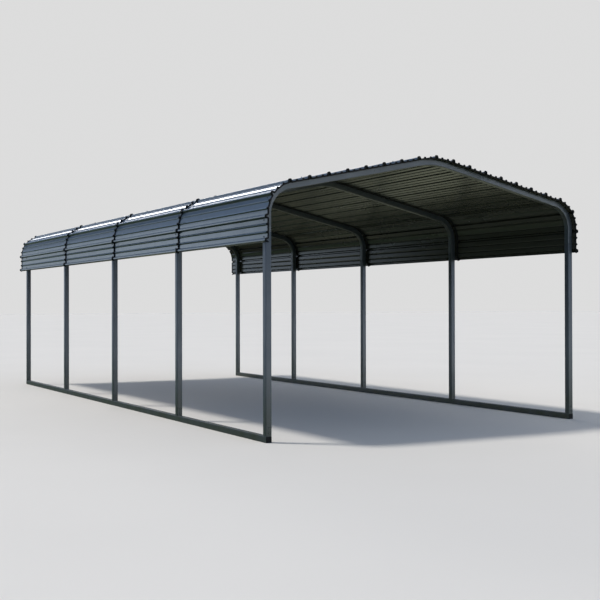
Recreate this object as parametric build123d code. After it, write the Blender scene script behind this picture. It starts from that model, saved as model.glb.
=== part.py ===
import os
from math import atan2, cos, hypot, pi, radians, sin, tan

from build123d import *

os.makedirs("parts", exist_ok=True)

# Layout of the frame: width over the legs, bents along the length
frame_width = 3658.0
bent_count = 5
bay_length = 1940.0

# Square steel tube, the same for legs, bows and rails
tube_size = 57.0
tube_wall = 2.0

# Line of a bent, measured on the outer faces of the tube
bend_start = 1996.0
haunch_radius = 286.0
roof_pitch = radians(12.0)
peak_radius = 850.0

# Splices of a bent: shoulder of the leg below the bend, half width of the peak bow, swaged spigots
shoulder_drop = 167.0
peak_bow_half_width = 590.0
spigot_length = 120.0
neck_length = 8.0
spigot_gap = 0.3
stub_length = 100.0

# Plugs in the open ends of the base rails
plug_flange = 54.0
plug_flange_corner = 3.0
plug_flange_thickness = 2.5
plug_body_length = 18.0
plug_wall = 2.5
plug_gap = 0.3

# Ribbed sheet: metal, rib spacing round the bow, tall ribs and the low ones between them
sheet_thickness = 1.0
rib_pitch = 205.2
rib_height = 25.0
rib_foot_width = 34.0
rib_crown_width = 14.0
low_rib_height = 7.0
low_rib_foot_width = 22.0
low_ribs_per_pitch = 2

# Pitches that each sheet covers: the ridge sheet's are shared by both slopes
ridge_sheet_pitch_count = 4
roof_sheet_pitch_count = 5
skirt_sheet_pitch_count = 4

# Seats: sheet on tube and sheet on sheet, sheets past the front of their bent, laps along the roof
seat_gap = 0.3
lap_gap = 0.3
roof_overhang = 50.0
sheet_lap = 355.0

half_width = frame_width / 2
leg_centre_x = half_width - tube_size / 2
frame_length = (bent_count - 1) * bay_length + tube_size
sheet_length = bay_length + sheet_lap
roof_length = (bent_count - 1) * bay_length + sheet_lap
front_bent_y = roof_overhang - roof_length / 2
leg_shoulder = bend_start - shoulder_drop
tube_inside = tube_size - 2 * tube_wall
spigot_size = tube_inside - 2 * spigot_gap

# Steps from sheet to sheet: beside each other, and at the lifted front end of a lapped sheet
lap_step = sheet_thickness + lap_gap
end_lift = lap_step / (1 - sheet_lap / sheet_length)

# Ribs that end the sheets, counted from the ridge
ridge_lap_rib = ridge_sheet_pitch_count // 2
haunch_lap_rib = ridge_lap_rib + roof_sheet_pitch_count
edge_rib = haunch_lap_rib + skirt_sheet_pitch_count

# Slopes of the ribs' sides
tall_flank = atan2(rib_height, (rib_foot_width - rib_crown_width) / 2)
low_flank = atan2(low_rib_height, low_rib_foot_width / 2)

# Lengths along half of the bow's outer line: peak bend, rafter, haunch bend
peak_arc = peak_radius * roof_pitch
haunch_arc = haunch_radius * (pi / 2 - roof_pitch)
haunch_top_x = half_width - haunch_radius * (1 - sin(roof_pitch))
haunch_top_z = bend_start + haunch_radius * cos(roof_pitch)
peak_bend_x = peak_radius * sin(roof_pitch)
peak_bend_z = haunch_top_z + (haunch_top_x - peak_bend_x) * tan(roof_pitch)
peak_centre_z = peak_bend_z - peak_radius * cos(roof_pitch)
rafter_length = hypot(haunch_top_x - peak_bend_x, haunch_top_z - peak_bend_z)
bend_marks = [peak_arc, peak_arc + rafter_length, peak_arc + rafter_length + haunch_arc]


def on_bow(girth, height):
    """Point at a distance round the bow from the ridge, and a height above its outer face."""
    side = -1 if girth < 0 else 1
    run = abs(girth)
    peak_end, rafter_end, haunch_end = bend_marks
    if run <= peak_end:
        lean = run / peak_radius
        x = peak_radius * sin(lean)
        z = peak_centre_z + peak_radius * cos(lean)
    elif run <= rafter_end:
        lean = roof_pitch
        x = peak_bend_x + (run - peak_end) * cos(lean)
        z = peak_bend_z - (run - peak_end) * sin(lean)
    elif run <= haunch_end:
        lean = roof_pitch + (run - rafter_end) / haunch_radius
        x = half_width - haunch_radius + haunch_radius * sin(lean)
        z = bend_start + haunch_radius * cos(lean)
    else:
        lean = pi / 2
        x = half_width
        z = bend_start - (run - haunch_end)
    return Vector(side * (x + height * sin(lean)), 0, z + height * cos(lean))


def on_bend(girth):
    run = abs(girth)
    return run < bend_marks[0] or bend_marks[1] < run < bend_marks[2]


# Square tube and its joints


def square(size):
    return Rectangle(size, size)


def tube_ring(plane, size):
    """Hollow square section on a plane."""
    return plane * (square(size) - square(size - 2 * tube_wall))


def tube_along(path):
    start = Plane(origin=path @ 0, x_dir=(0, 1, 0), z_dir=path % 0)
    return sweep(tube_ring(start, tube_size), path=path)


def spigot(plane, length):
    """Hollow square end that fits inside a tube."""
    return extrude(tube_ring(plane, spigot_size), length)


def swaged_end(plane):
    """Neck that draws the tube in, and the spigot beyond it, from the shoulder on a plane."""
    neck_end = plane.offset(neck_length)
    outer = loft([plane * square(tube_size), neck_end * square(spigot_size)], ruled=True)
    inner = loft([plane * square(tube_inside), neck_end * square(spigot_size - 2 * tube_wall)], ruled=True)
    return outer - inner + spigot(neck_end, spigot_length)


# Pieces of a bent


def bow_centre(run):
    """Point on the tube's centre line, on the right of the ridge."""
    return on_bow(run, -tube_size / 2)


def make_leg():
    foot = Plane(origin=(leg_centre_x, 0, tube_size))
    shoulder = foot.offset(leg_shoulder - tube_size)
    shaft = extrude(tube_ring(foot, tube_size), leg_shoulder - tube_size)
    return shaft + swaged_end(shoulder)


def splice_run():
    """Distance from the ridge to the peak bow's shoulder."""
    return peak_arc + (peak_bow_half_width - peak_bend_x) / cos(roof_pitch)


def make_corner_bow():
    rafter_end, haunch_end = bend_marks[1:]
    foot = bow_centre(haunch_end)
    foot.Z = leg_shoulder + neck_length
    haunch = ThreePointArc(
        bow_centre(haunch_end),
        bow_centre((haunch_end + rafter_end) / 2),
        bow_centre(rafter_end),
    )
    upright = Line(foot, haunch @ 0)
    rafter = Line(haunch @ 1, bow_centre(splice_run() + neck_length))
    return tube_along(Wire([upright.edge(), haunch.edge(), rafter.edge()]))


def make_peak_bow():
    peak_end = bend_marks[0]
    shoulder = bow_centre(splice_run())
    bend_end = bow_centre(peak_end)
    bend = ThreePointArc(Vector(-bend_end.X, 0, bend_end.Z), bow_centre(0), bend_end)
    left = Line(Vector(-shoulder.X, 0, shoulder.Z), bend @ 0)
    right = Line(bend @ 1, shoulder)
    bow = tube_along(Wire([left.edge(), bend.edge(), right.edge()]))
    outward = Plane(origin=shoulder, x_dir=(0, 1, 0), z_dir=(cos(roof_pitch), 0, -sin(roof_pitch)))
    end = swaged_end(outward)
    return bow + end + mirror(end, about=Plane.YZ)


# Base rail with its stubs, and the plugs in its ends


def bent_places():
    return [front_bent_y + tube_size / 2 + number * bay_length for number in range(bent_count)]


def make_rail():
    front = Plane(origin=(leg_centre_x, front_bent_y, tube_size / 2), x_dir=(1, 0, 0), z_dir=(0, 1, 0))
    rail = extrude(tube_ring(front, tube_size), frame_length)
    for place in bent_places():
        top = Plane(origin=(leg_centre_x, place, tube_size - tube_wall / 2))
        rail += spigot(top, stub_length + tube_wall / 2)
    return rail


def make_plug():
    """Flanged plug, drawn in the end of a rail that runs along +Y from the origin."""
    mouth = Plane(origin=(0, 0, 0), x_dir=(1, 0, 0), z_dir=(0, 1, 0))
    flange_outline = chamfer(square(plug_flange).vertices(), plug_flange_corner)
    flange = extrude(mouth * flange_outline, -plug_flange_thickness)
    body_size = tube_inside - 2 * plug_gap
    return flange + extrude(mouth * (square(body_size) - square(body_size - 2 * plug_wall)), plug_body_length)


def make_plugs():
    front_plug = Pos(leg_centre_x, 0, tube_size / 2) * make_plug()
    rear_plug = mirror(front_plug, about=Plane.XZ)
    right = [Pos(0, front_bent_y, 0) * front_plug, Pos(0, front_bent_y + frame_length, 0) * rear_plug]
    return Compound(children=right + [mirror(plug, about=Plane.YZ) for plug in right])


# Ribbed sheets


def rib_half_width(foot_width, flank, lift, height):
    """Half width of a rib at a height, once its outline is moved out by a lift."""
    return foot_width / 2 - height / tan(flank) + lift / sin(flank)


def tall_rib(centre, lift, left_foot, right_foot):
    """Left foot, crown and right foot of a tall rib as girth and height, with its feet at given heights."""
    top = rib_height + lift
    heights = (left_foot, top, top, right_foot)
    halves = [rib_half_width(rib_foot_width, tall_flank, lift, height) for height in heights]
    return [(centre + side * half, height) for side, half, height in zip((-1, -1, 1, 1), halves, heights)]


def low_rib(centre, pan):
    foot = rib_half_width(low_rib_foot_width, low_flank, pan, pan)
    top = low_rib_height + pan / cos(low_flank)
    return [(centre - foot, pan), (centre, top), (centre + foot, pan)]


def sheet_line(first, last, pan, first_rib, last_rib, first_end, last_end):
    """One face of a sheet from rib to rib: heights of the pans, of the end ribs and of the cut edges."""
    points = []
    for number in range(first, last + 1):
        lift = {first: first_rib, last: last_rib}.get(number, pan)
        left_foot = first_end if number == first else pan
        right_foot = last_end if number == last else pan
        points += tall_rib(number * rib_pitch, lift, left_foot, right_foot)
        if number < last:
            for low in range(1, low_ribs_per_pitch + 1):
                points += low_rib((number + low / (low_ribs_per_pitch + 1)) * rib_pitch, pan)
    return points


def sheet_edges(points):
    """Edges through points of a sheet's face: pans on a bend follow the bow, the rest is straight."""
    edges = []
    for (start, height), (end, end_height) in zip(points, points[1:]):
        middle = (start + end) / 2
        ends = [on_bow(start, height), on_bow(end, end_height)]
        if height == end_height and height < low_rib_height and on_bend(middle):
            edges.append(ThreePointArc(ends[0], on_bow(middle, height), ends[1]).edge())
        else:
            edges.append(Line(*ends).edge())
    return edges


def sheet_outline(first, last, over_first, over_last, lift):
    """Closed section of a sheet whose end ribs lie over or under its neighbours', lifted off the bow."""

    def rib_base(number, over):
        # Where two sheets meet, those of the next bay lie over both
        joint_lift = lift if abs(number) == edge_rib else 2 * lift
        return seat_gap + joint_lift + over * lap_step

    pan = seat_gap + lift
    ribs = [rib_base(first, over_first), rib_base(last, over_last)]
    ends = [pan + over_first * lap_step, pan + over_last * lap_step]
    inner = sheet_line(first, last, pan, *ribs, *ends)
    outer = sheet_line(first, last, pan + sheet_thickness, *[rib + sheet_thickness for rib in ribs], *ends)
    start = Line(on_bow(*inner[0]), on_bow(*outer[0])).edge()
    end = Line(on_bow(*outer[-1]), on_bow(*inner[-1])).edge()
    back = [Edge.reversed(edge) for edge in reversed(sheet_edges(inner))]
    return Wire([start] + sheet_edges(outer) + [end] + back)


def make_sheet(first, last, over_first, over_last, start_y, front_lift):
    """Sheet from rib to rib, its front end lifted over the sheet in front and its rear end on the bow."""
    span = (first, last, over_first, over_last)
    front = Pos(0, start_y, 0) * sheet_outline(*span, front_lift)
    rear = Pos(0, start_y + sheet_length, 0) * sheet_outline(*span, 0)
    return Solid.make_loft([front, rear], ruled=True)


def make_bay_sheets(start_y, front_lift):
    """The five sheets of a bay: roof sheets lie over the skirts, and the ridge sheet over both."""
    left_skirt = make_sheet(-edge_rib, -haunch_lap_rib, False, False, start_y, front_lift)
    left_roof = make_sheet(-haunch_lap_rib, -ridge_lap_rib, True, False, start_y, front_lift)
    ridge = make_sheet(-ridge_lap_rib, ridge_lap_rib, True, True, start_y, front_lift)
    return {
        "left_skirt_sheet": left_skirt,
        "left_roof_sheet": left_roof,
        "ridge_sheet": ridge,
        "right_roof_sheet": mirror(left_roof, about=Plane.YZ),
        "right_skirt_sheet": mirror(left_skirt, about=Plane.YZ),
    }


# All pieces by name

pieces = {}

leg = make_leg()
corner_bow = make_corner_bow()
peak_bow = make_peak_bow()
for number, place in enumerate(bent_places(), start=1):
    for name, piece in (("leg", leg), ("corner_bow", corner_bow)):
        pieces[f"bent_{number}_right_{name}"] = Pos(0, place, 0) * piece
        pieces[f"bent_{number}_left_{name}"] = Pos(0, place, 0) * mirror(piece, about=Plane.YZ)
    pieces[f"bent_{number}_peak_bow"] = Pos(0, place, 0) * peak_bow

rail = make_rail()
pieces["right_base_rail"] = rail
pieces["left_base_rail"] = mirror(rail, about=Plane.YZ)
pieces["rail_end_plugs"] = make_plugs()

for number in range(1, bent_count):
    start_y = front_bent_y + (number - 1) * bay_length - roof_overhang
    for name, piece in make_bay_sheets(start_y, end_lift if number > 1 else 0).items():
        pieces[f"bay_{number}_{name}"] = piece

for name, piece in pieces.items():
    export_step(piece, f"parts/{name}.step")
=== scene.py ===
from collections import namedtuple
from math import atan2, cos, hypot, pi, radians, sin, tan

import bmesh
import bpy
from mathutils import Matrix, Vector


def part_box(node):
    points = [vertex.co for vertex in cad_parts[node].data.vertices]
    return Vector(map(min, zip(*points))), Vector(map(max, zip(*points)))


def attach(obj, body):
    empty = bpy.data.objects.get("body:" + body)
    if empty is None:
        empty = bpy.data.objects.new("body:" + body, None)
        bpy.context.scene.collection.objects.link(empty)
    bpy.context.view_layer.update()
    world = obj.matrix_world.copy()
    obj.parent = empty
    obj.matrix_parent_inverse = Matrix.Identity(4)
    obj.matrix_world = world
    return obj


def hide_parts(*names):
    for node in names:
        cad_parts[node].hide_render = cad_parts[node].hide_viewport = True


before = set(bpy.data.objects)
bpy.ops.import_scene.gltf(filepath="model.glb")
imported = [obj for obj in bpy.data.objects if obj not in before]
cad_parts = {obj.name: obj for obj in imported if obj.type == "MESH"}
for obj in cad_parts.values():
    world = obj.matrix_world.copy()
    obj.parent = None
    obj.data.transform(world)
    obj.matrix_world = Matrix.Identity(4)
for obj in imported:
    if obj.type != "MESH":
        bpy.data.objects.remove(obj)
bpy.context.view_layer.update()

ROOT = "root"
ACROSS = Vector((1, 0, 0))
ALONG = Vector((0, 1, 0))
UP = Vector((0, 0, 1))
BENT_COUNT = 5
SIDES = {"left": -1, "right": 1}

# Sizes read from the frame, in metres
leg_low, leg_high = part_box("bent_1_right_leg")
roof_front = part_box("bay_1_ridge_sheet")[0].y
sheet_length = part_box("bay_1_ridge_sheet")[1].y - roof_front
bay_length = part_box("bay_2_ridge_sheet")[0].y - roof_front
front_bent_y = leg_low.y
half_width = leg_high.x
tube_size = leg_high.x - leg_low.x
frame_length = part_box("right_base_rail")[1].y - front_bent_y

# Line of a bent on the outer faces of its tube
bend_start = 1.996
haunch_radius = 0.286
roof_pitch = radians(12.0)
peak_radius = 0.850

# Square tube and its swaged splices
tube_wall = 0.002
tube_corner = 0.005
shoulder_drop = 0.167
peak_bow_half_width = 0.590
neck_length = 0.008
spigot_length = 0.120
spigot_gap = 0.0003
stub_length = 0.100

# Ribbed sheet
sheet_thickness = 0.001
rib_pitch = 0.2052
rib_height = 0.025
rib_foot_width = 0.034
rib_crown_width = 0.014
low_rib_height = 0.007
low_rib_foot_width = 0.022
low_ribs_per_pitch = 2

# Folds of a sheet: their radius, and the most of a flat that a fold may take
fold_radius = 0.0025
fold_share = 0.45

# Strip that stays flat beside a fold or a tube's corner
flat_margin = 0.0015

# Gaps of sheet on tube and of sheet on sheet
seat_gap = 0.0003
lap_gap = 0.0003

# Ribs where the sheets end, counted from the ridge
ridge_lap_rib = 2
haunch_lap_rib = 7
edge_rib = 11

leg_centre_x = half_width - tube_size / 2
leg_shoulder = bend_start - shoulder_drop
tube_inside = tube_size - 2 * tube_wall
spigot_size = tube_inside - 2 * spigot_gap
sheet_lap = sheet_length - bay_length
lap_step = sheet_thickness + lap_gap
end_lift = lap_step / (1 - sheet_lap / sheet_length)
tall_flank = atan2(rib_height, (rib_foot_width - rib_crown_width) / 2)
low_flank = atan2(low_rib_height, low_rib_foot_width / 2)

# Lengths round half of the bow: peak bend, rafter, haunch bend
peak_arc = peak_radius * roof_pitch
haunch_arc = haunch_radius * (pi / 2 - roof_pitch)
haunch_top_x = half_width - haunch_radius * (1 - sin(roof_pitch))
haunch_top_z = bend_start + haunch_radius * cos(roof_pitch)
peak_bend_x = peak_radius * sin(roof_pitch)
peak_bend_z = haunch_top_z + (haunch_top_x - peak_bend_x) * tan(roof_pitch)
peak_centre_z = peak_bend_z - peak_radius * cos(roof_pitch)
rafter_length = hypot(haunch_top_x - peak_bend_x, haunch_top_z - peak_bend_z)
rafter_end = peak_arc + rafter_length
haunch_end = rafter_end + haunch_arc
splice_run = peak_arc + (peak_bow_half_width - peak_bend_x) / cos(roof_pitch)


def bow_frame(girth):
    """Point on the bow's outer line at a distance from the ridge, and its outward direction."""
    side = -1 if girth < 0 else 1
    run = abs(girth)
    if run <= peak_arc:
        lean = run / peak_radius
        x, z = peak_radius * sin(lean), peak_centre_z + peak_radius * cos(lean)
    elif run <= rafter_end:
        lean = roof_pitch
        x = peak_bend_x + (run - peak_arc) * cos(lean)
        z = peak_bend_z - (run - peak_arc) * sin(lean)
    elif run <= haunch_end:
        lean = roof_pitch + (run - rafter_end) / haunch_radius
        x = half_width - haunch_radius * (1 - sin(lean))
        z = bend_start + haunch_radius * cos(lean)
    else:
        lean = pi / 2
        x, z = half_width, bend_start - (run - haunch_end)
    return Vector((side * x, 0, z)), Vector((side * sin(lean), 0, cos(lean)))


def on_bow(girth, height):
    point, outward = bow_frame(girth)
    return point + height * outward


# Meshes

# Edges that turn by more than this are sharp
sharp_angle = radians(35.0)


def make_piece(name, mesh, materials):
    mesh.set_sharp_from_angle(angle=sharp_angle)
    for material in materials:
        mesh.materials.append(material)
    piece = bpy.data.objects.new(name, mesh)
    bpy.context.scene.collection.objects.link(piece)
    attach(piece, ROOT)
    return piece


def mesh_from(name, bm):
    bmesh.ops.recalc_face_normals(bm, faces=bm.faces)
    for face in bm.faces:
        face.smooth = True
    mesh = bpy.data.meshes.new(name)
    bm.to_mesh(mesh)
    bm.free()
    return mesh


def bridge(bm, rings, material_of=None):
    """Quads between closed rings of vertices, with a material index by place in the ring."""
    for ring, following in zip(rings, rings[1:]):
        for k in range(len(ring)):
            after = (k + 1) % len(ring)
            face = bm.faces.new((ring[k], ring[after], following[after], following[k]))
            if material_of:
                face.material_index = material_of(k)


def add_shell(bm, outer_loops, inner_loops=None):
    """Closed shell through loops of points: solid, or with an open bore through its inner loops."""
    outer = [[bm.verts.new(point) for point in loop] for loop in outer_loops]
    bridge(bm, outer)
    if inner_loops is None:
        bm.faces.new(outer[0])
        bm.faces.new(outer[-1])
        return
    inner = [[bm.verts.new(point) for point in loop] for loop in inner_loops]
    bridge(bm, inner)
    bridge(bm, [outer[0], inner[0]])
    bridge(bm, [outer[-1], inner[-1]])


def rounded_square(size, corner, steps=3):
    """Points round a square with rounded corners, and one more on each side of a corner, for flat faces."""
    reach = size / 2 - corner
    points = []
    for quarter, (u, v) in enumerate(((1, 1), (-1, 1), (-1, -1), (1, -1))):
        turns = [(quarter + step / steps) * pi / 2 for step in range(steps + 1)]
        arc = [(u * reach + corner * cos(turn), v * reach + corner * sin(turn)) for turn in turns]
        before = (arc[0][0] + flat_margin * sin(turns[0]), arc[0][1] - flat_margin * cos(turns[0]))
        after = (arc[-1][0] - flat_margin * sin(turns[-1]), arc[-1][1] + flat_margin * cos(turns[-1]))
        points += [before, *arc, after]
    return points


def add_tube(bm, stations):
    """Square tube through stations: centre, direction across, direction along Y or Z, outer size."""
    outer_loops = []
    inner_loops = []
    for centre, across, beside, size in stations:
        for loops, width in ((outer_loops, size), (inner_loops, size - 2 * tube_wall)):
            corner = tube_corner if width == size else tube_corner - tube_wall
            loops.append([centre + across * u + beside * v for u, v in rounded_square(width, corner)])
    add_shell(bm, outer_loops, inner_loops)


# Frame: legs, bows and rails


def bent_place(number):
    return front_bent_y + tube_size / 2 + (number - 1) * bay_length


def bow_station(run, place, size=tube_size):
    """Section of the bow's tube at a distance from the ridge, in the bent at a place along the roof."""
    point, outward = bow_frame(run)
    return point - outward * tube_size / 2 + ALONG * place, outward, ALONG, size


def spread(start, end, count):
    return [start + (end - start) * step / count for step in range(count + 1)]


def make_leg(side, place):
    heights = [
        (tube_size, tube_size),
        (leg_shoulder, tube_size),
        (leg_shoulder + neck_length, spigot_size),
        (leg_shoulder + neck_length + spigot_length, spigot_size),
    ]
    x = side * leg_centre_x
    bm = bmesh.new()
    add_tube(bm, [(Vector((x, place, z)), ACROSS, ALONG, size) for z, size in heights])
    return bm


def make_corner_bow(side, place, arc_steps=22):
    foot = haunch_end + bend_start - leg_shoulder - neck_length
    runs = [foot] + spread(haunch_end, rafter_end, arc_steps) + [splice_run + neck_length]
    bm = bmesh.new()
    add_tube(bm, [bow_station(side * run, place) for run in runs])
    return bm


def make_peak_bow(place, arc_steps=10):
    """Bow over the peak: its ends are drawn in to spigots for the corner bows."""
    plain = [splice_run] + spread(peak_arc, 0, arc_steps)
    neck = splice_run + neck_length
    half = [(neck + spigot_length, spigot_size), (neck, spigot_size)] + [(run, tube_size) for run in plain]
    left = [bow_station(-run, place, size) for run, size in half[:-1]]
    right = [bow_station(run, place, size) for run, size in reversed(half)]
    bm = bmesh.new()
    add_tube(bm, left + right)
    return bm


def make_rail(side):
    """Base rail with the stubs that its legs stand over."""
    x = side * leg_centre_x
    ends = (front_bent_y, front_bent_y + frame_length)
    stub_ends = (tube_size - tube_wall / 2, tube_size + stub_length)
    bm = bmesh.new()
    add_tube(bm, [(Vector((x, y, tube_size / 2)), ACROSS, UP, tube_size) for y in ends])
    for number in range(1, BENT_COUNT + 1):
        add_tube(bm, [(Vector((x, bent_place(number), z)), ACROSS, ALONG, spigot_size) for z in stub_ends])
    return bm


# Ribbed sheets

# Places in a sheet's list of materials
paint_index = 0
coat_index = 1


def rib_half_width(foot_width, flank, lift, height):
    return foot_width / 2 - height / tan(flank) + lift / sin(flank)


def tall_rib(centre, lift, left_foot, right_foot):
    """Feet and crown of a tall rib as girth and height."""
    top = rib_height + lift
    heights = (left_foot, top, top, right_foot)
    halves = [rib_half_width(rib_foot_width, tall_flank, lift, height) for height in heights]
    return [(centre + side * half, height) for side, half, height in zip((-1, -1, 1, 1), halves, heights)]


def low_rib(centre, pan):
    foot = rib_half_width(low_rib_foot_width, low_flank, pan, pan)
    return [(centre - foot, pan), (centre, low_rib_height + pan / cos(low_flank)), (centre + foot, pan)]


def sheet_line(first, last, pan, end_ribs, ends):
    """Points along a sheet as girth and height, given the heights of its pans, end ribs and cut edges."""
    points = []
    for number in range(first, last + 1):
        lift = {first: end_ribs[0], last: end_ribs[1]}.get(number, pan)
        left_foot = ends[0] if number == first else pan
        right_foot = ends[1] if number == last else pan
        points += tall_rib(number * rib_pitch, lift, left_foot, right_foot)
        if number < last:
            for low in range(1, low_ribs_per_pitch + 1):
                points += low_rib((number + low / (low_ribs_per_pitch + 1)) * rib_pitch, pan)
    return points


def fold(points, radius, steps=3):
    """A line with its inner points rounded."""
    rounded = [points[0]]
    for before, at, after in zip(points, points[1:], points[2:]):
        corner = Vector(at)
        back = Vector(before) - corner
        ahead = Vector(after) - corner
        turn = pi - back.angle(ahead)
        reach = min(radius * tan(turn / 2), fold_share * back.length, fold_share * ahead.length)
        start = corner + back.normalized() * reach
        end = corner + ahead.normalized() * reach
        for step in range(steps + 1):
            share = step / steps
            rounded.append(tuple(start.lerp(corner, share).lerp(corner.lerp(end, share), share)))
    return rounded + [points[-1]]


def lay_out(points, shares=(1 / 3, 2 / 3)):
    """A line with points added on its long stretches, so that they follow the bow and stay flat beside
    the folds."""
    laid = [points[0]]
    for before, after in zip(points, points[1:]):
        start, end = Vector(before), Vector(after)
        run = (end - start).length
        if run > 3 * flat_margin:
            margin = flat_margin / run
            laid += [tuple(start.lerp(end, share)) for share in (margin, *shares, 1 - margin)]
        laid.append(after)
    return laid


def sheet_loop(span, over, lift, y):
    """Closed loop round a sheet's section at a place along the roof, lifted off the bow."""
    pan = seat_gap + lift
    ribs = []
    for number, above in zip(span, over):
        joint_lift = lift if abs(number) == edge_rib else 2 * lift
        ribs.append(seat_gap + joint_lift + above * lap_step)
    ends = [pan + above * lap_step for above in over]
    inner = lay_out(fold(sheet_line(*span, pan, ribs, ends), fold_radius))
    outer_ribs = [rib + sheet_thickness for rib in ribs]
    outer_line = sheet_line(*span, pan + sheet_thickness, outer_ribs, ends)
    outer = lay_out(fold(outer_line, fold_radius + sheet_thickness))
    return [on_bow(*point) + ALONG * y for point in outer + inner[::-1]]


def make_sheet(span, over, start_y, front_lift, stretches=4):
    """Closed sheet, painted outside and coated inside, its front end lifted off the bow."""
    loops = []
    for share in spread(0, 1, stretches):
        loops.append(sheet_loop(span, over, front_lift * (1 - share), start_y + sheet_length * share))
    bm = bmesh.new()
    rings = [[bm.verts.new(point) for point in loop] for loop in loops]
    half = len(rings[0]) // 2
    bridge(bm, rings, lambda k: coat_index if half <= k < 2 * half - 1 else paint_index)
    for ring in (rings[0], rings[-1]):
        for k in range(half - 1):
            bm.faces.new((ring[k], ring[k + 1], ring[-2 - k], ring[-1 - k]))
    return bm


# Ribs that each sheet of a row runs from and to, and whether its two ends lie over its neighbours
sheet_spans = {
    "left_skirt_sheet": ((-edge_rib, -haunch_lap_rib), (0, 0)),
    "left_roof_sheet": ((-haunch_lap_rib, -ridge_lap_rib), (1, 0)),
    "ridge_sheet": ((-ridge_lap_rib, ridge_lap_rib), (1, 1)),
    "right_roof_sheet": ((ridge_lap_rib, haunch_lap_rib), (0, 1)),
    "right_skirt_sheet": ((haunch_lap_rib, edge_rib), (0, 0)),
}


def row_front(bay):
    return roof_front + (bay - 1) * bay_length


def row_lift(bay, y):
    """How far a row's sheets stand off the bow at a place along the roof."""
    return end_lift * (1 - (y - row_front(bay)) / sheet_length) if bay > 1 else 0.0


# Black beads along the cut ends of the rows, which paint the shadow under each cut end: shares by which a
# bead is thicker on low ribs, thinner on crowns
end_shadow_bead_radius = 0.0078
lap_shadow_bead_radius = 0.0115
shadow_bead_swell = 0.75
shadow_bead_pinch = 0.6
shadow_bead_sides = 10


def make_shadow_bead(height, y, shadow_bead_radius):
    """Black bead across the whole roof through every rib, at a height over the bow: painted shadow under a
    cut end of the sheets.
    """
    line = fold(sheet_line(-edge_rib, edge_rib, height, (height, height), (height, height)), fold_radius)
    points = [on_bow(*point) + ALONG * y for point in line]
    loops = []
    for k, point in enumerate(points):
        rise = line[k][1] - height
        over = max(rise - low_rib_height, 0) / (rib_height - low_rib_height)
        radius = shadow_bead_radius * (1 + shadow_bead_swell * min(rise / low_rib_height, 1) - shadow_bead_pinch * over)
        back = (point - points[max(k - 1, 0)]).normalized()
        ahead = (points[min(k + 1, len(points) - 1)] - point).normalized()
        heading = (back + ahead).normalized()
        across = heading.cross(ALONG)
        loop = []
        for side in range(shadow_bead_sides):
            turn = 2 * pi * side / shadow_bead_sides
            loop.append(point + radius * (across * cos(turn) + ALONG * sin(turn)))
        loops.append(loop)
    bm = bmesh.new()
    add_shell(bm, loops)
    return bm


# Screws: a hexagon head on a washer, both narrower at the top
washer_sides = 12
washer_radius = 0.0075
washer_top_radius = 0.006
washer_height = 0.0015
washer_rim_height = 0.0009
head_sides = 6
head_radius = 0.0048
head_top_radius = 0.00408
head_height = 0.005
head_side_height = 0.004

# Their places: beside the ribs, along the lap ribs, and past the necks and the rails' tops
rib_clearance = 0.012
first_stitch = 0.14
stitch_spacing = 0.485
splice_screws = (0.03, 0.09)
stub_screws = (0.03, 0.075)

# Turns from screw to screw, so that their heads don't line up
sheet_head_turn = 0.7
stitch_head_turn = 1.3
frame_head_turn = 0.9


def add_screw(bm, place, outward, turn):
    """Screw with its washer's underside at a place, its head pointing outward."""
    tilt = outward.to_track_quat("Z", "Y").to_matrix().to_4x4()
    matrix = Matrix.Translation(place) @ tilt @ Matrix.Rotation(turn, 4, "Z")
    washer = [
        (washer_radius, 0.0),
        (washer_radius, washer_rim_height),
        (washer_top_radius, washer_height),
    ]
    head = [
        (head_radius, washer_height),
        (head_radius, washer_height + head_side_height),
        (head_top_radius, washer_height + head_height),
    ]
    for side_count, levels in ((washer_sides, washer), (head_sides, head)):
        angles = [2 * pi * k / side_count for k in range(side_count)]
        loops = []
        for radius, height in levels:
            loops.append([matrix @ Vector((radius * cos(a), radius * sin(a), height)) for a in angles])
        add_shell(bm, loops)


def make_sheet_screws():
    """Screws beside each tall rib where the sheets cross a bow."""
    beside = rib_foot_width / 2 + rib_clearance
    bm = bmesh.new()
    for number in range(1, BENT_COUNT + 1):
        y = bent_place(number)
        bay = min(number, BENT_COUNT - 1)
        height = seat_gap + row_lift(bay, y) + sheet_thickness
        for rib in range(-edge_rib, edge_rib + 1):
            side = -1 if rib < 0 else 1
            away = -side if abs(rib) == edge_rib else side
            girth = rib * rib_pitch + away * beside
            point, outward = bow_frame(girth)
            add_screw(bm, point + height * outward + ALONG * y, outward, sheet_head_turn * rib + number)
    return bm


def make_stitch_screws():
    """Screws through the crowns of the ribs where sheets lap side by side."""
    bm = bmesh.new()
    count = int((BENT_COUNT - 1) * bay_length / stitch_spacing)
    for rib in (-haunch_lap_rib, -ridge_lap_rib, ridge_lap_rib, haunch_lap_rib):
        for step in range(count + 1):
            y = roof_front + first_stitch + step * stitch_spacing
            bay = min(int((y - roof_front) / bay_length), BENT_COUNT - 2) + 1
            height = rib_height + seat_gap + 2 * row_lift(bay, y) + lap_step + sheet_thickness
            point, outward = bow_frame(rib * rib_pitch)
            add_screw(bm, point + height * outward + ALONG * y, outward, stitch_head_turn * step + rib)
    return bm


def make_frame_screws():
    """Screws through both faces of each splice and stub."""
    bm = bmesh.new()
    places = []
    for side in SIDES.values():
        for distance in splice_screws:
            point, outward = bow_frame(side * (splice_run + neck_length + distance))
            places.append(point - outward * tube_size / 2)
        heights = [leg_shoulder + neck_length + distance for distance in splice_screws]
        heights += [tube_size + distance for distance in stub_screws]
        places += [Vector((side * leg_centre_x, 0, z)) for z in heights]
    for number in range(1, BENT_COUNT + 1):
        for k, place in enumerate(places):
            for face in (-1, 1):
                centre = place + ALONG * (bent_place(number) + face * tube_size / 2)
                add_screw(bm, centre, ALONG * face, frame_head_turn * k + number)
    return bm


# Materials

# Places of the colour sockets on a Mix node
first_colour_input = 6
second_colour_input = 7
colour_output = 2

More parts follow.
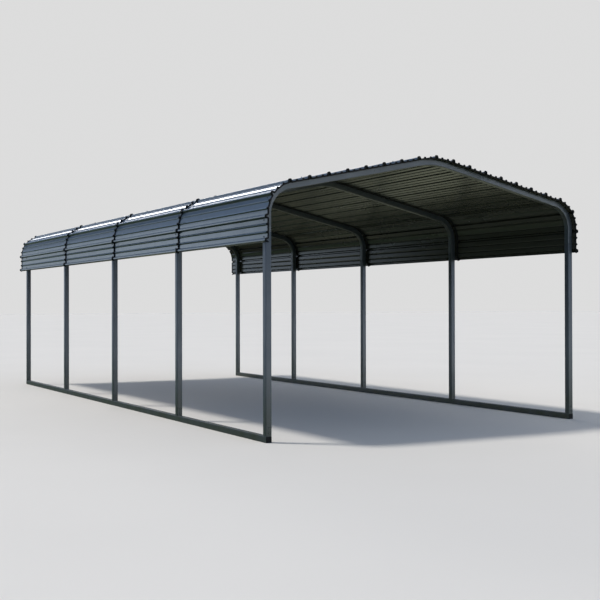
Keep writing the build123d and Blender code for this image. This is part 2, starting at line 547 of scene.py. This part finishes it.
# Most of a noise texture's values lie between these
noise_low = 0.3
noise_high = 0.7

# Films on the paint: the most that dust covers, and where a darker greenish film near the ground, a painted
# reflection of dark turf, starts to thin and ends, in metres
dust_colour = (0.20, 0.20, 0.19)
dust_cover = 0.05
turf_reflection_colour = (0.036, 0.040, 0.027)
turf_reflection_full_height = 0.03
turf_reflection_end_height = 0.75


def node(tree, kind, **inputs):
    made = tree.nodes.new(kind)
    for name, value in inputs.items():
        made.inputs[name.replace("_", " ")].default_value = value
    return made


def noise(tree, place, scale, detail=3.0, stretch=(1.0, 1.0, 1.0)):
    mapping = node(tree, "ShaderNodeMapping", Scale=stretch)
    tree.links.new(place, mapping.inputs["Vector"])
    made = node(tree, "ShaderNodeTexNoise", Scale=scale, Detail=detail)
    tree.links.new(mapping.outputs["Vector"], made.inputs["Vector"])
    return made.outputs["Fac"]


def ramp(tree, value, low, high, low_out, high_out):
    """Maps a value from one range to another."""
    made = node(tree, "ShaderNodeMapRange")
    for name, number in (("From Min", low), ("From Max", high), ("To Min", low_out), ("To Max", high_out)):
        made.inputs[name].default_value = number
    tree.links.new(value, made.inputs["Value"])
    return made.outputs["Result"]


def patches(tree, place, scale, detail=3.0, stretch=(1.0, 1.0, 1.0), low_out=0.0, high_out=1.0):
    """Noise that fills a range."""
    return ramp(tree, noise(tree, place, scale, detail, stretch), noise_low, noise_high, low_out, high_out)


def blend(tree, amount, first, second):
    """Colour between two colours."""
    made = tree.nodes.new("ShaderNodeMix")
    made.data_type = "RGBA"
    tree.links.new(amount, made.inputs["Factor"])
    for number, colour in ((first_colour_input, first), (second_colour_input, second)):
        if isinstance(colour, tuple):
            made.inputs[number].default_value = (*colour, 1.0)
        else:
            tree.links.new(colour, made.inputs[number])
    return made.outputs[colour_output]


def shade(colour, factor):
    return tuple(factor * channel for channel in colour)


def product(tree, first, second):
    made = node(tree, "ShaderNodeMath")
    made.operation = "MULTIPLY"
    tree.links.new(first, made.inputs[0])
    tree.links.new(second, made.inputs[1])
    return made.outputs["Value"]


def scaled_sum(tree, value, factor, addend):
    """A value times a number, plus another value."""
    made = node(tree, "ShaderNodeMath")
    made.operation = "MULTIPLY_ADD"
    tree.links.new(value, made.inputs[0])
    made.inputs[1].default_value = factor
    tree.links.new(addend, made.inputs[2])
    return made.outputs["Value"]


def bump(tree, height, distance, strength, normal=None):
    made = node(tree, "ShaderNodeBump", Distance=distance, Strength=strength)
    tree.links.new(height, made.inputs["Height"])
    if normal is not None:
        tree.links.new(normal, made.inputs["Normal"])
    return made.outputs["Normal"]


def parts_of(tree, vector):
    """X, Y and Z of a vector."""
    made = tree.nodes.new("ShaderNodeSeparateXYZ")
    tree.links.new(vector, made.inputs["Vector"])
    return made.outputs


def facing(tree, least, full):
    """How far a face looks up or down: 0 at one slope of its normal, 1 at another."""
    normal = tree.nodes.new("ShaderNodeNewGeometry").outputs["Normal"]
    return ramp(tree, parts_of(tree, normal)["Z"], least, full, 0.0, 1.0)


def start_material(name):
    material = bpy.data.materials.new(name)
    material.use_nodes = True
    tree = material.node_tree
    place = tree.nodes.new("ShaderNodeTexCoord").outputs["Object"]
    return material, tree, tree.nodes["Principled BSDF"], place


def paint_material(name, colour, painted_shade_colour, roughness, coat, top_dulling):
    """Baked paint on steel: slight mottling, orange peel, long shallow waves, a darker greenish film near
    the ground that paints the reflection of dark turf, a paler film of dust that dulls the level tops, and
    painted shade on the faces turned to the ground, which take a darker colour in place of both films."""
    material, tree, shader, place = start_material(name)

    mottle = patches(tree, place, scale=1.7, stretch=(1.0, 0.5, 1.0))
    plain = blend(tree, mottle, shade(colour, 0.95), shade(colour, 1.05))
    runs = noise(tree, place, scale=24.0, stretch=(0.12, 1.0, 0.12))
    dust = ramp(tree, runs, low=0.55, high=0.9, low_out=0.0, high_out=dust_cover)
    dusty = blend(tree, dust, plain, dust_colour)
    # Darker and greenish towards the ground, in mottled patches: painted reflection of dark turf
    height = parts_of(tree, place)["Z"]
    low_down = ramp(tree, height, low=turf_reflection_full_height, high=turf_reflection_end_height, low_out=1.0, high_out=0.0)
    turf_reflection_noise = noise(tree, place, scale=8.0, detail=4.0)
    turf_reflection_patches = ramp(tree, turf_reflection_noise, low=0.35, high=0.65, low_out=0.6, high_out=1.0)
    turf_reflected = blend(tree, product(tree, low_down, turf_reflection_patches), dusty, turf_reflection_colour)
    # Faces turned to the ground take a darker colour in place of the films: painted shade
    painted_shade = facing(tree, least=-0.10, full=-0.45)
    tree.links.new(blend(tree, painted_shade, turf_reflected, painted_shade_colour), shader.inputs["Base Color"])

    low_rough, high_rough = roughness
    rough = patches(tree, place, scale=11.0, stretch=(0.4, 1.0, 0.4), low_out=low_rough, high_out=high_rough)
    level = facing(tree, least=0.5, full=0.98)
    tree.links.new(scaled_sum(tree, level, top_dulling, rough), shader.inputs["Roughness"])
    shader.inputs["Coat Weight"].default_value = coat
    shader.inputs["Coat Roughness"].default_value = 0.14

    swell = noise(tree, place, scale=3.0, detail=1.0, stretch=(1.0, 0.4, 1.0))
    waves = bump(tree, swell, distance=0.0003, strength=0.2)
    peel = noise(tree, place, scale=380.0, detail=1.0)
    normal = bump(tree, peel, distance=0.00002, strength=0.15, normal=waves)
    tree.links.new(normal, shader.inputs["Normal"])
    return material


def back_coat_material(name, colour, roughness):
    """Thin coat on the inner faces, less glossy than the paint: blotchy, with a fine tooth."""
    material, tree, shader, place = start_material(name)
    blotch = patches(tree, place, scale=3.2, detail=5.0, stretch=(1.0, 0.35, 1.0))
    blotchy = blend(tree, blotch, shade(colour, 0.93), shade(colour, 1.07))
    tree.links.new(blotchy, shader.inputs["Base Color"])
    tree.links.new(ramp(tree, blotch, 0.0, 1.0, *roughness), shader.inputs["Roughness"])
    tooth = noise(tree, place, scale=650.0, detail=2.0)
    tree.links.new(bump(tree, tooth, distance=0.00002, strength=0.12), shader.inputs["Normal"])
    return material


def black_plastic_and_shadow_material(name, colour, roughness, grain_scale):
    """Black moulded plastic, and the black of the beads that paint shadow: fine grain, with a dull bloom
    here and there.
    """
    material, tree, shader, place = start_material(name)
    most_bloom = 0.4
    bloom_noise = noise(tree, place, scale=7.0, detail=5.0)
    bloom = ramp(tree, bloom_noise, low=0.45, high=0.8, low_out=0.0, high_out=most_bloom)
    bloomed = blend(tree, bloom, colour, shade(colour, 1.6))
    tree.links.new(bloomed, shader.inputs["Base Color"])
    tree.links.new(ramp(tree, bloom, 0.0, most_bloom, *roughness), shader.inputs["Roughness"])
    shader.inputs["Specular IOR Level"].default_value = 0.2
    grain = noise(tree, place, scale=grain_scale, detail=2.0)
    tree.links.new(bump(tree, grain, distance=0.0002, strength=0.3), shader.inputs["Normal"])
    return material


def for_camera(tree, lighting, seen):
    """One shader for the light that reaches the carport, another for what the camera sees."""
    mix = tree.nodes.new("ShaderNodeMixShader")
    tree.links.new(tree.nodes.new("ShaderNodeLightPath").outputs["Is Camera Ray"], mix.inputs["Fac"])
    tree.links.new(lighting, mix.inputs[1])
    tree.links.new(seen, mix.inputs[2])
    return mix.outputs["Shader"]


def floor_material(pale, left_bounce, right_bounce, rear_share, right_span, rear_span):
    """Pale floor that throws no more light back at the carport than turf on the left and gravel on the right
    do, and less from behind it. The spans are where its bounce turns from left to right and to the rear."""
    material, tree, shader, place = start_material("studio_floor")
    cloud = patches(tree, place, scale=0.35, detail=4.0)
    tree.links.new(blend(tree, cloud, shade(pale, 0.97), pale), shader.inputs["Base Color"])
    shader.inputs["Roughness"].default_value = 0.9
    shader.inputs["Specular IOR Level"].default_value = 0.0

    parts = parts_of(tree, place)
    rightward = ramp(tree, parts["X"], *right_span, 0.0, 1.0)
    rearward = ramp(tree, parts["Y"], *rear_span, 0.0, 1.0)
    right_colour = blend(tree, rearward, right_bounce, shade(right_bounce, rear_share))
    ground = node(tree, "ShaderNodeBsdfDiffuse")
    tree.links.new(blend(tree, rightward, left_bounce, right_colour), ground.inputs["Color"])
    seen = for_camera(tree, ground.outputs["BSDF"], shader.outputs["BSDF"])
    tree.links.new(seen, tree.nodes["Material Output"].inputs["Surface"])
    return material


# The carport's looks

frame_paint = paint_material(
    "frame_paint",
    colour=(0.057, 0.068, 0.085),
    painted_shade_colour=(0.050, 0.053, 0.058),
    roughness=(0.32, 0.42),
    coat=0.03,
    top_dulling=0.5,
)
sheet_paint = paint_material(
    "sheet_paint",
    colour=(0.041, 0.062, 0.087),
    painted_shade_colour=(0.006, 0.009, 0.012),
    roughness=(0.28, 0.34),
    coat=0.45,
    top_dulling=0.0,
)
back_coat = back_coat_material("back_coat", colour=(0.036, 0.035, 0.029), roughness=(0.25, 0.28))
# Black of the beads that paint the shadow at the rows' cut ends
shadow_bead_black = black_plastic_and_shadow_material(
    "shadow_bead_black",
    colour=(0.006, 0.0065, 0.008),
    roughness=(0.6, 0.8),
    grain_scale=900.0,
)
plug_plastic = black_plastic_and_shadow_material(
    "plug_plastic",
    colour=(0.004, 0.004, 0.005),
    roughness=(0.5, 0.65),
    grain_scale=1400.0,
)


def replace_node(node_name, bm, materials):
    """Finished piece in the place of a CAD node."""
    piece = make_piece(f"painted_{node_name}", mesh_from(node_name, bm), materials)
    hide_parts(node_name)


def replace_tube(node_name, bm):
    replace_node(node_name, bm, [frame_paint])


def replace_sheet(node_name, bm):
    replace_node(node_name, bm, [sheet_paint, back_coat])


def add_shadow_bead(name, height, y, shadow_bead_radius):
    make_piece(name, mesh_from("shadow_bead", make_shadow_bead(height, y, shadow_bead_radius)), [shadow_bead_black])


for number in range(1, BENT_COUNT + 1):
    place = bent_place(number)
    for side_name, side in SIDES.items():
        replace_tube(f"bent_{number}_{side_name}_leg", make_leg(side, place))
        replace_tube(f"bent_{number}_{side_name}_corner_bow", make_corner_bow(side, place))
    replace_tube(f"bent_{number}_peak_bow", make_peak_bow(place))
for side_name, side in SIDES.items():
    replace_tube(f"{side_name}_base_rail", make_rail(side))

# Middle of the sheets' thickness, over the bow
sheet_middle = seat_gap + sheet_thickness / 2
for bay in range(1, BENT_COUNT):
    y = row_front(bay)
    lift = row_lift(bay, y)
    for part, (span, over) in sheet_spans.items():
        replace_sheet(f"bay_{bay}_{part}", make_sheet(span, over, y, lift))
    # A black bead at each row's front end and at the roof's rear end: painted shadow under the cut ends
    shadow_bead_radius = lap_shadow_bead_radius if bay > 1 else end_shadow_bead_radius
    add_shadow_bead(f"bay_{bay}_edge_shadow_bead", sheet_middle + lift, y, shadow_bead_radius)
add_shadow_bead("rear_edge_shadow_bead", sheet_middle, row_front(BENT_COUNT - 1) + sheet_length, end_shadow_bead_radius)

for name, screws in (
    ("sheet_screws", make_sheet_screws()),
    ("stitch_screws", make_stitch_screws()),
    ("frame_screws", make_frame_screws()),
):
    make_piece(name, mesh_from(name, screws), [frame_paint])

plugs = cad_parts["rail_end_plugs"].data.materials
plugs.clear()
plugs.append(plug_plastic)


# Camera at the photograph's place: 600 pixels wide, the roll turned about the line of sight
focal_pixels = 1000.94
image_pixels = 600
camera_place = Vector((-5.9378, -11.6714, 1.1861))
camera_yaw = radians(30.1586)
camera_pitch = radians(0.3726)
camera_roll = radians(-0.117)
clip_distance = 500


def add_camera():
    ahead = Vector((sin(camera_yaw), cos(camera_yaw), 0)) * cos(camera_pitch)
    ahead.z = sin(camera_pitch)
    level = Vector((cos(camera_yaw), -sin(camera_yaw), 0))
    upright = level.cross(ahead)
    right = level * cos(camera_roll) + upright * sin(camera_roll)
    up = upright * cos(camera_roll) - level * sin(camera_roll)
    turned = Matrix((right, up, -ahead)).transposed().to_4x4()
    camera = bpy.data.objects.new("camera", bpy.data.cameras.new("camera"))
    bpy.context.scene.collection.objects.link(camera)
    camera.data.lens = camera.data.sensor_width * focal_pixels / image_pixels
    camera.data.clip_end = clip_distance
    camera.matrix_world = Matrix.Translation(camera_place) @ turned
    bpy.context.scene.camera = camera


# Studio: a pale floor, a soft sky with bright panels and dark flags, and one soft key light

# A panel and a flag are round patches of the sky, their height divided by squash. Their angles are the
# radii before that, in degrees, where they end and where they are full. A flag leaves a share of the light.
Panel = namedtuple("Panel", "towards squash outer inner strength tint")
Flag = namedtuple("Flag", "towards squash outer inner share")


def add_floor(reach=150.0):
    corners = [(-reach, -reach, 0), (reach, -reach, 0), (reach, reach, 0), (-reach, reach, 0)]
    bm = bmesh.new()
    bm.faces.new([bm.verts.new(corner) for corner in corners])
    mesh = mesh_from("studio_floor", bm)
    material = floor_material(
        pale=(0.745, 0.693, 0.62),
        left_bounce=(0.103, 0.148, 0.087),
        right_bounce=(0.545, 0.538, 0.354),
        rear_share=0.08,
        right_span=(-1.95, -1.45),
        rear_span=(2.0, 6.5),
    )
    mesh.materials.append(material)
    floor = bpy.data.objects.new("studio_floor", mesh)
    bpy.context.scene.collection.objects.link(floor)


def vector_node(tree, operation, vector, other=None):
    made = tree.nodes.new("ShaderNodeVectorMath")
    made.operation = operation
    tree.links.new(vector, made.inputs[0])
    if other is not None:
        made.inputs[1].default_value = other
    return made.outputs


def patch_of_sky(tree, direction, oval, outside, inside):
    """Value round a direction of the sky: one inside a panel's or flag's oval, another outside it."""
    flatten = Vector((1, 1, oval.squash))
    squashed = vector_node(tree, "MULTIPLY", direction, flatten)["Vector"]
    unit = vector_node(tree, "NORMALIZE", squashed)["Vector"]
    middle = (Vector(oval.towards) * flatten).normalized()
    closeness = vector_node(tree, "DOT_PRODUCT", unit, middle)["Value"]
    return ramp(tree, closeness, cos(radians(oval.outer)), cos(radians(oval.inner)), outside, inside)


def sky_colour(tree, direction, horizon, middle, overhead, middle_height, overhead_span):
    """Colour by height: from the horizon to the middle of the sky, and on to overhead."""
    height = parts_of(tree, direction)["Z"]
    lower = blend(tree, ramp(tree, height, 0.0, middle_height, 0.0, 1.0), horizon, middle)
    return blend(tree, ramp(tree, height, *overhead_span, 0.0, 1.0), lower, overhead)


def add_sky(panels, flags, backdrop, **colours):
    """Light from all round with soft panels and dark flags, and a plain backdrop for the camera."""
    world = bpy.data.worlds.new("studio")
    bpy.context.scene.world = world
    world.use_nodes = True
    tree = world.node_tree
    tree.nodes.clear()
    direction = tree.nodes.new("ShaderNodeTexCoord").outputs["Generated"]
    sky = node(tree, "ShaderNodeBackground")
    tree.links.new(sky_colour(tree, direction, **colours), sky.inputs["Color"])
    first_share, second_share = [patch_of_sky(tree, direction, flag, 1.0, flag.share) for flag in flags]
    tree.links.new(product(tree, first_share, second_share), sky.inputs["Strength"])

    lit = sky.outputs["Background"]
    for panel in panels:
        light = node(tree, "ShaderNodeBackground", Color=(*panel.tint, 1.0))
        tree.links.new(patch_of_sky(tree, direction, panel, 0.0, panel.strength), light.inputs["Strength"])
        both = tree.nodes.new("ShaderNodeAddShader")
        tree.links.new(lit, both.inputs[0])
        tree.links.new(light.outputs["Background"], both.inputs[1])
        lit = both.outputs["Shader"]

    plain = node(tree, "ShaderNodeBackground", Color=(*backdrop, 1.0))
    output = tree.nodes.new("ShaderNodeOutputWorld")
    tree.links.new(for_camera(tree, lit, plain.outputs["Background"]), output.inputs["Surface"])


def add_sun(name, towards, strength, spread_angle):
    """Soft light from a direction."""
    lamp = bpy.data.lights.new(name, "SUN")
    lamp.energy = strength
    lamp.angle = radians(spread_angle)
    light = bpy.data.objects.new(name, lamp)
    light.matrix_world = Vector(towards).to_track_quat("Z", "Y").to_matrix().to_4x4()
    bpy.context.scene.collection.objects.link(light)


haunch_panel = Panel(
    towards=(0.31, 0.89, 0.34),
    squash=1.0,
    outer=14.0,
    inner=7.0,
    strength=7.0,
    tint=(1.0, 1.0, 1.0),
)
front_panel = Panel(
    towards=(0.49, -0.87, 0.02),
    squash=4.2,
    outer=27.0,
    inner=9.0,
    strength=5.3,
    tint=(0.87, 0.94, 1.06),
)
skirt_panel = Panel(
    towards=(-0.48, 0.88, 0.05),
    squash=1.5,
    outer=10.5,
    inner=5.0,
    strength=1.0,
    tint=(0.85, 1.0, 1.2),
)
haunch_flag = Flag(towards=(-0.14, 0.94, 0.34), squash=0.45, outer=7.0, inner=4.5, share=0.1)
skirt_flag = Flag(towards=(-0.59, 0.81, 0.05), squash=1.0, outer=9.0, inner=5.5, share=0.1)

add_camera()
add_floor()
add_sky(
    panels=(haunch_panel, front_panel, skirt_panel),
    flags=(haunch_flag, skirt_flag),
    backdrop=(0.72, 0.72, 0.72),
    horizon=(0.66, 0.75, 0.83),
    middle=(0.24, 0.36, 0.62),
    overhead=(0.33, 0.38, 0.46),
    middle_height=0.38,
    overhead_span=(0.45, 0.8),
)
add_sun("key_light", towards=(-0.35, 0.30, 1.0), strength=2.0, spread_angle=8.0)
bpy.context.scene.view_settings.view_transform = "Standard"
